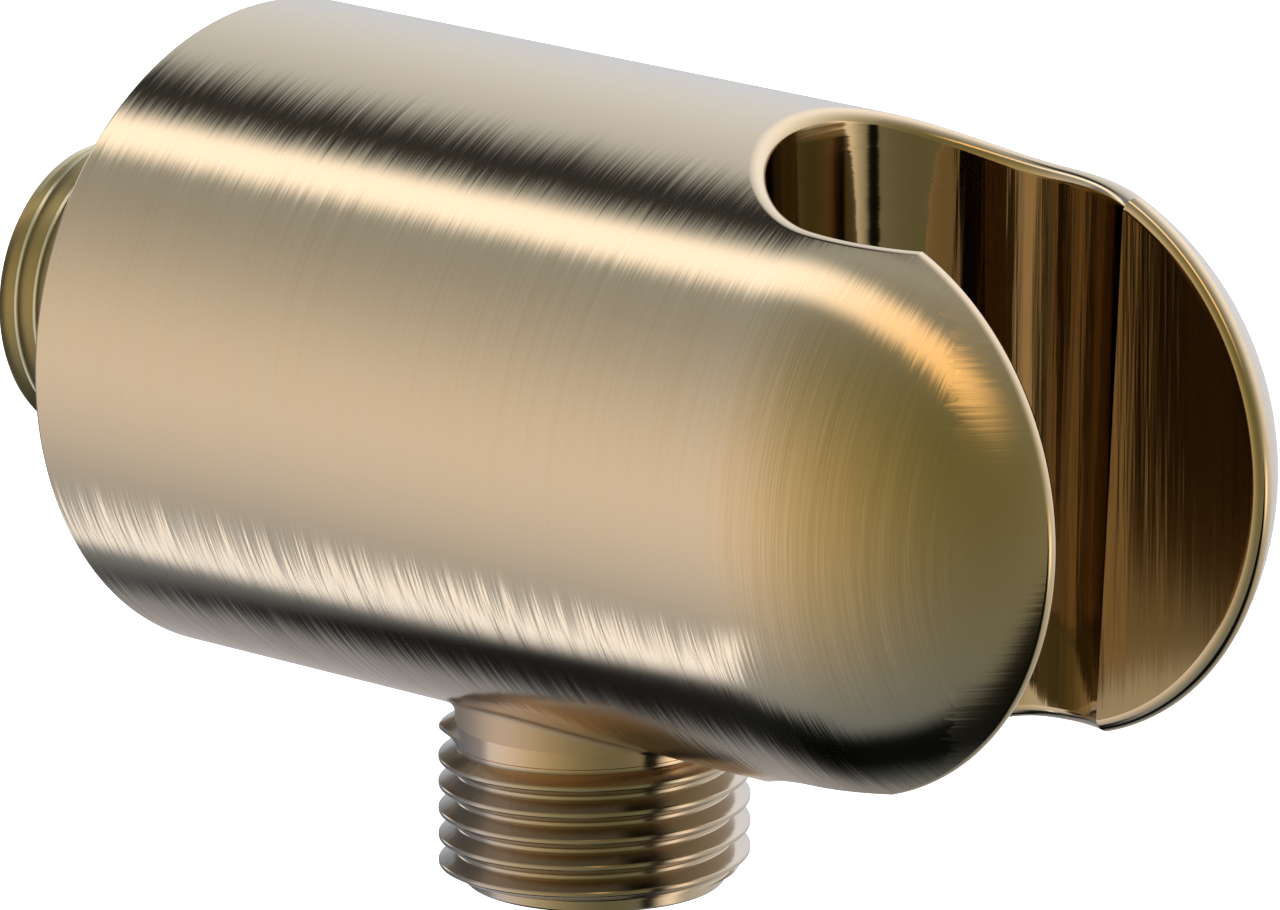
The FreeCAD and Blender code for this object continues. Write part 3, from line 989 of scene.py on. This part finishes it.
def moulded(name, tint, roughness, grain_size, relief):
    """Moulded rubber, plastic or pressed fibre with a fine grain."""
    material, nodes, place = started(name)
    grain = nodes.noise(nodes.scaled(place, 1 / grain_size), GRAIN_DETAIL)
    cloud = nodes.noise(nodes.scaled(place, 1 / grain_size / CLOUD_SIZE), CLOUD_DETAIL)
    grain_shade = nodes.math("MULTIPLY_ADD", grain, GRAIN_SHADE, LEAST_SHADE)
    shade = nodes.math("MULTIPLY_ADD", cloud, CLOUD_SHADE, grain_shade)
    nodes.surface(Base_Color=nodes.scaled(tuple(tint), shade),
                  Roughness=nodes.math("MULTIPLY_ADD", grain, GRAIN_ROUGHNESS, roughness),
                  Normal=nodes.bump(grain, GRAIN_STRENGTH, relief))
    return material


def dress(piece, *materials):
    """Gives the piece its materials, which its faces name by number. Clearing resets those numbers."""
    mesh = piece.data
    numbers = [0] * len(mesh.polygons)
    mesh.polygons.foreach_get("material_index", numbers)
    mesh.materials.clear()
    for material in materials:
        mesh.materials.append(material)
    mesh.polygons.foreach_set("material_index", numbers)


def finish_of(slot):
    """The material for one of the record's slots or one more part of the body, made once."""
    name = slot + "_finish"
    known = bpy.data.materials.get(name)
    if known:
        return known
    of = bpy.context.scene.finishes
    deep, slight = of.stroke_tilt, of.stroke_tilt / 2
    brushed = {
        "body_brass": (of.brass, of.roughness, of.level_roughness, of.grain, deep, False),
        # painted shade: darker brass for the shade inside the fork's bore
        "fork_brass": (of.fork_brass, of.fork_roughness, of.fork_roughness, of.fine_grain, slight, False),
        # painted shade: darker brass for the shade on the slot's walls
        "arm_brass": (of.arm_brass, of.arm_roughness, of.arm_roughness, 0.0, deep, False),
        "neck_brass": (of.neck_brass, of.neck_roughness, of.neck_roughness, of.fine_grain, slight, True),
        # painted shade: darker brass for the shade on the thread's flanks and grooves
        "thread_brass": (of.thread_brass, of.thread_roughness, of.thread_roughness, of.thread_grain,
                         slight, True),
    }
    turned = {
        "hollow_brass": (of.neck_brass, of.hollow_roughness, of.line_width, "Z"),
        "edge_brass": (of.brass, of.edge_roughness, of.line_width, "Z"),
        "nipple_brass": (of.nipple_brass, of.nipple_roughness, of.line_width, "Y"),
        "spring_steel": (of.steel, of.steel_roughness, of.wire_line_width, "Z"),
    }
    pressed = {
        "black_rubber": (of.rubber, of.rubber_roughness, of.rubber_grain, of.rubber_relief),
        "washer_fibre": (of.fibre, of.fibre_roughness, of.fibre_grain, of.fibre_relief),
        "cartridge_plastic": (of.cartridge, of.plastic_roughness, of.plastic_grain, of.plastic_relief),
        "poppet_plastic": (of.poppet, of.plastic_roughness, of.plastic_grain, of.plastic_relief),
    }
    if slot in brushed:
        return brushed_metal(name, of, *brushed[slot])
    if slot in turned:
        return turned_metal(name, *turned[slot])
    return moulded(name, *pressed[slot])


class OUTLET_OT_body(bpy.types.Operator):
    """Models the body with its fork and its threaded outlet"""
    bl_idname = "wall_outlet.body"
    bl_label = "Body"

    def execute(self, context):
        scene = context.scene
        piece = body_shell(scene.body_sizes, scene.outlet_sizes, scene.thread_sizes).build("body_skin")
        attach(piece, FIXED)
        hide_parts("body")
        dress(piece, finish_of("body_brass"), finish_of("fork_brass"), finish_of("neck_brass"),
              finish_of("thread_brass"), finish_of("edge_brass"), finish_of("hollow_brass"),
              finish_of("arm_brass"))
        return {"FINISHED"}


class OUTLET_OT_nipple(bpy.types.Operator):
    """Models the threaded nipple that goes into the wall"""
    bl_idname = "wall_outlet.nipple"
    bl_label = "Wall nipple"

    def execute(self, context):
        scene = context.scene
        piece = nipple_shell(scene.nipple_sizes, scene.thread_sizes).build("nipple_thread")
        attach(piece, FIXED)
        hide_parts("inlet_nipple")
        dress(piece, finish_of("nipple_brass"))
        return {"FINISHED"}


class SpringSizes(bpy.types.PropertyGroup):
    """Sizes of the valve's spring and of the cartridge's ring."""
    coil_radius: length("Coil radius", "Radius of the coil at the wire's middle", 2.15 * MM)
    wire_radius: length("Wire radius", "Radius of the spring's wire", 0.225 * MM)
    turns: share("Turns", "Turns of the spring", 5)
    foot: length("Foot", "Height of the spring's fixed end", -27.7 * MM)
    kept: share("Kept height", "Share of the spring's height that is left when the valve is open", 0.609)


WIRE_SIDES = 14    # facets round the spring's wire
COIL_STEPS = 36    # facets in a turn of the spring
RING_STEPS = 96    # facets round the sealing ring
RING_SIDES = 20    # facets round its section
SEAM = 0.001 * MM  # points of the spring closer than this are merged


class OUTLET_OT_spring(bpy.types.Operator):
    """Models the valve's closing spring from a circle and a screw"""
    bl_idname = "wall_outlet.spring"
    bl_label = "Valve spring"

    def execute(self, context):
        sizes = context.scene.spring_sizes
        low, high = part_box("valve_spring")
        setback = context.scene.outlet_sizes.setback
        bpy.ops.mesh.primitive_circle_add(vertices=WIRE_SIDES, radius=sizes.wire_radius,
                                          fill_type="NOTHING", rotation=(PI / 2, 0, 0))
        piece = context.object
        bpy.ops.object.transform_apply(rotation=True)
        bpy.ops.object.mode_set(mode="EDIT")
        bpy.ops.mesh.select_all(action="SELECT")
        bpy.ops.transform.translate(value=(sizes.coil_radius, 0, 0))
        bpy.ops.object.mode_set(mode="OBJECT")
        screw = piece.modifiers.new("coil", "SCREW")
        screw.axis = "Z"
        screw.angle = 2 * PI * sizes.turns
        screw.screw_offset = high.z - low.z - 2 * sizes.wire_radius
        screw.steps = screw.render_steps = round(COIL_STEPS * sizes.turns)
        bpy.ops.object.modifier_apply(modifier=screw.name)
        bpy.ops.object.mode_set(mode="EDIT")
        bpy.ops.mesh.select_all(action="SELECT")
        bpy.ops.transform.translate(value=(0, -setback, low.z + sizes.wire_radius))
        bpy.ops.mesh.remove_doubles(threshold=SEAM)
        bpy.ops.mesh.select_all(action="DESELECT")
        bpy.ops.mesh.select_non_manifold()
        bpy.ops.mesh.edge_face_add()
        bpy.ops.mesh.select_all(action="SELECT")
        bpy.ops.mesh.normals_make_consistent(inside=False)
        bpy.ops.object.mode_set(mode="OBJECT")
        bpy.ops.object.shade_smooth_by_angle(angle=WIRE_SMOOTH_ANGLE)
        piece.name = "spring_coil"
        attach(piece, FIXED)
        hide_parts("valve_spring")
        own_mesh(piece)
        dress(piece, finish_of("spring_steel"))
        return {"FINISHED"}


class OUTLET_OT_ring(bpy.types.Operator):
    """Models the sealing ring round the valve's cartridge"""
    bl_idname = "wall_outlet.ring"
    bl_label = "Cartridge ring"

    def execute(self, context):
        low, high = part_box("cartridge_seal")
        section = (high.z - low.z) / 2
        reach = (high.x - low.x) / 2 - section
        bpy.ops.mesh.primitive_torus_add(major_radius=reach, minor_radius=section,
                                         major_segments=RING_STEPS, minor_segments=RING_SIDES)
        piece = context.object
        bpy.ops.object.mode_set(mode="EDIT")
        bpy.ops.mesh.select_all(action="SELECT")
        bpy.ops.transform.translate(value=(low + high) / 2)
        bpy.ops.object.mode_set(mode="OBJECT")
        bpy.ops.object.shade_smooth()
        piece.name = "cartridge_ring"
        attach(piece, FIXED)
        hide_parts("cartridge_seal")
        dress(piece, finish_of("black_rubber"))
        return {"FINISHED"}


class OUTLET_OT_inner_parts(bpy.types.Operator):
    """Gives the gasket, the washer and the valve's parts their materials"""
    bl_idname = "wall_outlet.inner_parts"
    bl_label = "Gasket, washer and valve"

    def execute(self, context):
        slots = {part["node"]: part["material_slot"] for part in frame["record"]["subparts"]}
        for name, piece in frame["nodes"].items():
            for place in piece.material_slots:
                place.material = finish_of(slots[name])
        return {"FINISHED"}


PICTURE_WIDTH = 1280   # pixels
PICTURE_HEIGHT = 910   # pixels
FILM_WIDTH = 36        # millimetres
FARTHEST = 20          # metres that the camera sees
BRIGHTEST = 3          # highest value of a light's colour


class StudioSettings(bpy.types.PropertyGroup):
    """Where the camera and the floor stand."""
    azimuth: angle("Azimuth", "Camera's turn about Z, 0 looking along +Y", -46.941)
    elevation: angle("Elevation", "Camera's height angle", 14.187)
    distance: length("Distance", "Camera to its target", 871.509 * MM)
    target: bpy.props.FloatVectorProperty(name="Target", description="What the camera looks at",
                                          default=(7.483 * MM, -30.0 * MM, -5.65 * MM),
                                          subtype="TRANSLATION", size=3)
    scale: share("Scale", "Pixels of the picture for one millimetre at the target", 14.901)
    shift_x: share("Shift X", "Camera shift across", 0.5 - 664.137 / PICTURE_WIDTH)
    shift_y: share("Shift Y", "Camera shift up", (454.709 - PICTURE_HEIGHT / 2) / PICTURE_WIDTH)
    floor_drop: length("Floor", "Floor below the body's axis", 2000 * MM)
    floor_size: length("Floor size", "Side of the floor", 24000 * MM)


class CardSizes(bpy.types.PropertyGroup):
    """Sizes of the dark card under the object, which shows only in reflections."""
    drop: length("Drop", "Card below the body's axis", 100 * MM)
    side: length("Side", "Side of the card's sheet", 300 * MM)
    left_edge: length("Left edge", "Middle of the soft left edge, on X", -40.5 * MM)
    left_softness: length("Left softness", "Half the width of the left edge", 9 * MM)
    skew_start: length("Skew start", "Where the left edge begins to run askew, on Y", 25 * MM)
    skew: share("Skew", "How far the left edge moves in for each step towards the wall", 0.55)
    spread: share("Spread", "How much softer it gets for each step towards the wall", 0.28)
    right_start: length("Right start", "Where the right edge begins to fade, on X", -5 * MM)
    right_end: length("Right end", "Where the right edge has faded, on X", 27 * MM)
    front_end: length("Front end", "Where the front edge has faded, on Y", -50 * MM)
    front_start: length("Front start", "Where the front edge begins to fade, on Y", -25 * MM)
    cover: share("Cover", "How much light the card holds back", 0.96)


class StudioLights(bpy.types.PropertyGroup):
    """Colours of the studio's light as the object's metal reflects them."""
    room: colour("Room", "Faint light from the room", (0.17, 0.16, 0.03), BRIGHTEST)
    wall: colour("Wall", "Faint light from the wall", (0.05, 0.145, 0.18), BRIGHTEST)
    wall_left: colour("Wall, left", "Cool wash from the left by the wall", (0.56, 0.59, 0.79), BRIGHTEST)
    left: colour("Left", "Warm wash from the left", (0.53, 0.36, 0.04), BRIGHTEST)
    right: colour("Right", "Bright wash from the upper right", (1.24, 1.30, 1.52), BRIGHTEST)
    low_left: colour("Low left", "Faint blue wash from below left", (0.065, 0.105, 0.225), BRIGHTEST)
    low_right: colour("Low right", "Warm wash from below right", (0.24, 0.14, 0.10), BRIGHTEST)
    front_right: colour("Front right", "Grey wash from the front right", (0.46, 0.45, 0.43), BRIGHTEST)
    front: colour("Front", "Tight bright wash from the front", (1.4, 1.2, 1.0), BRIGHTEST)
    key_room: colour("Key, room", "Key strip at its end in the room", (1.50, 0.98, 0.40), BRIGHTEST)
    key_wall: colour("Key, wall", "Key strip at its end by the wall", (1.42, 1.42, 1.44), BRIGHTEST)
    rim: colour("Rim", "Rim strip below the body", (1.62, 1.75, 2.05), BRIGHTEST)
    backdrop: colour("Backdrop", "What the camera sees past the floor", (1.0, 1.0, 1.0), BRIGHTEST)


FLOOR_SHADE = 0.9      # the floor's own colour, roughness and glow
FLOOR_COLOUR = (FLOOR_SHADE, FLOOR_SHADE, FLOOR_SHADE, 1.0)


def pale_floor():
    """The floor's plain pale material, lit from within so that it stays white."""
    material = bpy.data.materials.new("pale_floor")
    nodes = Nodes(material)
    nodes.surface(Base_Color=FLOOR_COLOUR, Roughness=FLOOR_SHADE, Emission_Color=(1.0, 1.0, 1.0, 1.0),
                  Emission_Strength=FLOOR_SHADE)
    return material


def dark_card(sizes):
    """A black card with soft edges. Its left edge runs askew, so it hides more of the light further out."""
    material, nodes, place = started("dark_card")
    across, along = nodes.part(place, 0), nodes.part(place, 1)
    inward = nodes.math("MAXIMUM", nodes.math("SUBTRACT", along, sizes.skew_start), 0.0)
    edge = nodes.math("MULTIPLY_ADD", inward, sizes.skew, sizes.left_edge)
    soft = nodes.math("MULTIPLY_ADD", inward, sizes.spread, sizes.left_softness)
    left = nodes.ease(nodes.math("SUBTRACT", across, edge), nodes.math("MULTIPLY", soft, -1.0), soft)
    right = nodes.ease(across, sizes.right_start, sizes.right_end, 1.0, 0.0)
    front = nodes.math("MULTIPLY", nodes.ease(along, sizes.front_end, sizes.front_start), sizes.cover)
    cover = nodes.math("MULTIPLY", nodes.math("MULTIPLY", left, right), front)
    clear = nodes.add("ShaderNodeBsdfTransparent").outputs[0]
    black = nodes.add("ShaderNodeEmission", (0.0, 0.0, 0.0, 1.0)).outputs[0]
    shown = nodes.add("ShaderNodeMixShader", cover, clear, black)
    nodes.add("ShaderNodeOutputMaterial", shown.outputs[0])
    return material


Wash = namedtuple("Wash", "turn lift tightness")           # turn and lift in degrees, as way takes them
Ramp = namedtuple("Ramp", "low high first last", defaults=(0.0, 1.0))
Screen = namedtuple("Screen", "begins dark fades ends least")  # degrees, and the least light it lets by
Strip = namedtuple("Strip", "pole middle half_width softness")

WASHES = {
    "wall_left": Wash(turn=189, lift=54, tightness=8.3),
    "left": Wash(turn=187, lift=20, tightness=5.8),
    "right": Wash(turn=39, lift=7, tightness=4.4),
    "low_left": Wash(turn=245, lift=12, tightness=2.9),
    "low_right": Wash(turn=322, lift=36, tightness=12.0),
    "front_right": Wash(turn=346, lift=-40, tightness=6.0),
    "front": Wash(turn=326, lift=-64, tightness=120.0),
}

# How the light changes from the room, where back is -1, to the wall, where it is 1.
ROOM_TO_WALL = Ramp(-1.4, 1.4)
BY_THE_WALL = Ramp(0.76, 0.88, 1.0, 0.5)
LOWER_SCREEN_END = Ramp(0.42, 0.6)
UPPER_SCREEN_END = Ramp(0.5, -0.1, 0.03, 0.9)
KEY_TINT = Ramp(-0.6, 0.7)
KEY_START = Ramp(-0.9, -0.55)
# Turns that shift the lower screen's edges, in radians.
RIGHT_SHIFT = Ramp(0.05, -0.2, 0.0, math.radians(10))
LEFT_SHIFT = Ramp(-0.4, -0.9, 0.0, math.radians(8))
# Where the strips end, by how high or how far right a direction points, and by its turn in radians.
KEY_FOOT = Ramp(0.0, 0.1)
RIM_TOP = Ramp(-0.1, -0.3)
RIM_LEFT = Ramp(-0.62, -0.4)
RIM_RIGHT = Ramp(math.radians(-9), math.radians(-1), 1.0, 0.0)

LOWER_SCREEN = Screen(begins=-14, dark=-5, fades=5, ends=24, least=0.02)
UPPER_SCREEN = Screen(begins=-8, dark=0, fades=6, ends=26, least=0.0)
KEY_STRIP = Strip(pole=(0.886, -0.154, 0.437), middle=0.016, half_width=0.092, softness=0.055)
RIM_STRIP = Strip(pole=(-0.103, 0.708, 0.698), middle=-0.003, half_width=0.036, softness=0.02)


def way(turn, lift):
    """Direction at a turn round the body's axis, from +X towards +Z, and a lift from there towards +Y."""
    turn, lift = math.radians(turn), math.radians(lift)
    return (math.cos(lift) * math.cos(turn), math.sin(lift), math.cos(lift) * math.sin(turn))


def glow(nodes, direction, wash, light):
    """Soft light round one direction."""
    near = nodes.math("MULTIPLY_ADD", nodes.dot(direction, way(wash.turn, wash.lift)), 0.5, 0.5)
    return nodes.scaled(light, nodes.math("POWER", near, wash.tightness))


def dark_screen(nodes, left_turn, right_turn, screen):
    """How much light a dark screen lets by, between its left edge and its right edge."""
    left = nodes.ease(left_turn, math.radians(screen.begins), math.radians(screen.dark), 1.0, screen.least)
    right = nodes.ease(right_turn, math.radians(screen.fades), math.radians(screen.ends))
    return nodes.math("ADD", left, right)


def strip_light(nodes, direction, strip, fade, light):
    """A long light on the great circle about a pole, cut off by the factor fade."""
    away = nodes.math("ABSOLUTE", nodes.math("SUBTRACT", nodes.dot(direction, strip.pole), strip.middle))
    inside = nodes.ease(away, strip.half_width - strip.softness, strip.half_width + strip.softness, 1.0, 0.0)
    return nodes.scaled(light, nodes.math("MULTIPLY", inside, fade))


def studio_world(lights):
    """Soft studio light from the left and above, two strip lights and two dark screens."""
    world = bpy.data.worlds.new("studio")
    nodes = Nodes(world)
    direction = nodes.vector("NORMALIZE", nodes.add("ShaderNodeTexCoord").outputs["Generated"])
    right, back, high = (nodes.part(direction, axis) for axis in range(3))
    from_below = nodes.math("ARCTAN2", right, nodes.math("MULTIPLY", high, -1.0))
    from_above = nodes.math("ARCTAN2", right, high)

    light = nodes.blend(nodes.ease(back, *ROOM_TO_WALL), tuple(lights.room), tuple(lights.wall))
    for name, wash in WASHES.items():
        washed = glow(nodes, direction, wash, tuple(getattr(lights, name)))
        light = nodes.vector("ADD", light, washed)

    left_turn = nodes.math("ADD", from_below, nodes.ease(back, *LEFT_SHIFT))
    right_turn = nodes.math("SUBTRACT", from_below, nodes.ease(back, *RIGHT_SHIFT))
    lower_screen = dark_screen(nodes, left_turn, right_turn, LOWER_SCREEN)
    lower_screen = nodes.math("MAXIMUM", lower_screen, nodes.ease(back, *LOWER_SCREEN_END))
    upper_screen = dark_screen(nodes, from_above, from_above, UPPER_SCREEN)
    upper_screen = nodes.math("MAXIMUM", upper_screen, nodes.ease(back, *UPPER_SCREEN_END))
    light = nodes.scaled(light, nodes.math("MULTIPLY", lower_screen, upper_screen))
    light = nodes.scaled(light, nodes.ease(back, *BY_THE_WALL))

    key_colour = nodes.blend(nodes.ease(back, *KEY_TINT), tuple(lights.key_room), tuple(lights.key_wall))
    key_fade = nodes.math("MULTIPLY", nodes.ease(high, *KEY_FOOT), nodes.ease(back, *KEY_START))
    key = strip_light(nodes, direction, KEY_STRIP, key_fade, key_colour)
    rim_fade = nodes.math("MULTIPLY", nodes.ease(high, *RIM_TOP), nodes.ease(right, *RIM_LEFT))
    rim = strip_light(nodes, direction, RIM_STRIP, rim_fade, tuple(lights.rim))
    rim = nodes.scaled(rim, nodes.ease(from_below, *RIM_RIGHT))
    light = nodes.vector("ADD", light, nodes.vector("ADD", key, rim))

    seen = nodes.add("ShaderNodeLightPath").outputs["Is Camera Ray"]
    background = nodes.add("ShaderNodeBackground", nodes.blend(seen, light, tuple(lights.backdrop)))
    nodes.add("ShaderNodeOutputWorld", background.outputs[0])
    return world


class OUTLET_OT_stage(bpy.types.Operator):
    """Sets up the floor, the dark card, the light and the camera"""
    bl_idname = "wall_outlet.stage"
    bl_label = "Stage"

    def execute(self, context):
        studio, sizes = context.scene.studio_settings, context.scene.card_sizes
        data = bpy.data.cameras.new("camera")
        camera = bpy.data.objects.new("camera", data)
        context.scene.collection.objects.link(camera)
        flat = math.cos(studio.elevation)
        back = Vector((math.sin(studio.azimuth) * flat, -math.cos(studio.azimuth) * flat,
                       math.sin(studio.elevation)))
        camera.location = Vector(studio.target) + back * studio.distance
        camera.rotation_euler = back.to_track_quat("Z", "Y").to_euler()
        data.sensor_width = FILM_WIDTH
        data.lens = studio.scale * studio.distance / MM * FILM_WIDTH / PICTURE_WIDTH
        data.shift_x, data.shift_y = studio.shift_x, studio.shift_y
        data.clip_end = FARTHEST
        context.scene.camera = camera
        bpy.ops.mesh.primitive_plane_add(size=studio.floor_size, location=(0, 0, -studio.floor_drop))
        floor = context.object
        floor.name = "floor"
        floor.visible_glossy = False
        dress(floor, pale_floor())
        floor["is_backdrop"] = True
        bpy.ops.mesh.primitive_plane_add(size=sizes.side, location=(0, 0, -sizes.drop))
        card = context.object
        card.name = "dark_card"
        card.visible_camera = card.visible_diffuse = card.visible_shadow = False
        dress(card, dark_card(sizes))
        card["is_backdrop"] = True
        context.scene.world = studio_world(context.scene.studio_lights)
        context.scene.view_settings.view_transform = "Standard"
        return {"FINISHED"}


GROUPS = {
    "body_sizes": BodySizes,
    "outlet_sizes": OutletSizes,
    "thread_sizes": ThreadSizes,
    "nipple_sizes": NippleSizes,
    "spring_sizes": SpringSizes,
    "finishes": Finishes,
    "studio_settings": StudioSettings,
    "card_sizes": CardSizes,
    "studio_lights": StudioLights,
}
OPERATORS = (OUTLET_OT_body, OUTLET_OT_nipple, OUTLET_OT_spring, OUTLET_OT_ring, OUTLET_OT_inner_parts,
             OUTLET_OT_stage)


class OUTLET_PT_panel(bpy.types.Panel):
    """Sizes, colours and building steps of the wall outlet"""
    bl_idname = "OUTLET_PT_panel"
    bl_label = "Wall outlet"
    bl_space_type = "VIEW_3D"
    bl_region_type = "UI"
    bl_category = "Wall outlet"

    def draw(self, context):
        for name, group in GROUPS.items():
            box = self.layout.box()
            box.label(text=name.replace("_", " ").capitalize())
            for field in group.__annotations__:
                box.prop(getattr(context.scene, name), field)
        for operator in OPERATORS:
            self.layout.operator(operator.bl_idname)


def register():
    for name, group in GROUPS.items():
        bpy.utils.register_class(group)
        setattr(bpy.types.Scene, name, bpy.props.PointerProperty(type=group))
    for part in OPERATORS + (OUTLET_PT_panel,):
        bpy.utils.register_class(part)


def unregister():
    for part in reversed(OPERATORS + (OUTLET_PT_panel,)):
        bpy.utils.unregister_class(part)
    for name, group in GROUPS.items():
        delattr(bpy.types.Scene, name)
        bpy.utils.unregister_class(group)


def main():
    register()
    bpy.ops.wall_outlet.body()
    bpy.ops.wall_outlet.nipple()
    bpy.ops.wall_outlet.spring()
    bpy.ops.wall_outlet.ring()
    bpy.ops.wall_outlet.inner_parts()
    bpy.ops.wall_outlet.stage()
    corners = {"cad": cad_bounds, "visual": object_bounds()}
    sizes = {name: [[float(value) for value in corner] for corner in box] for name, box in corners.items()}


if __name__ == "__main__":
    main()
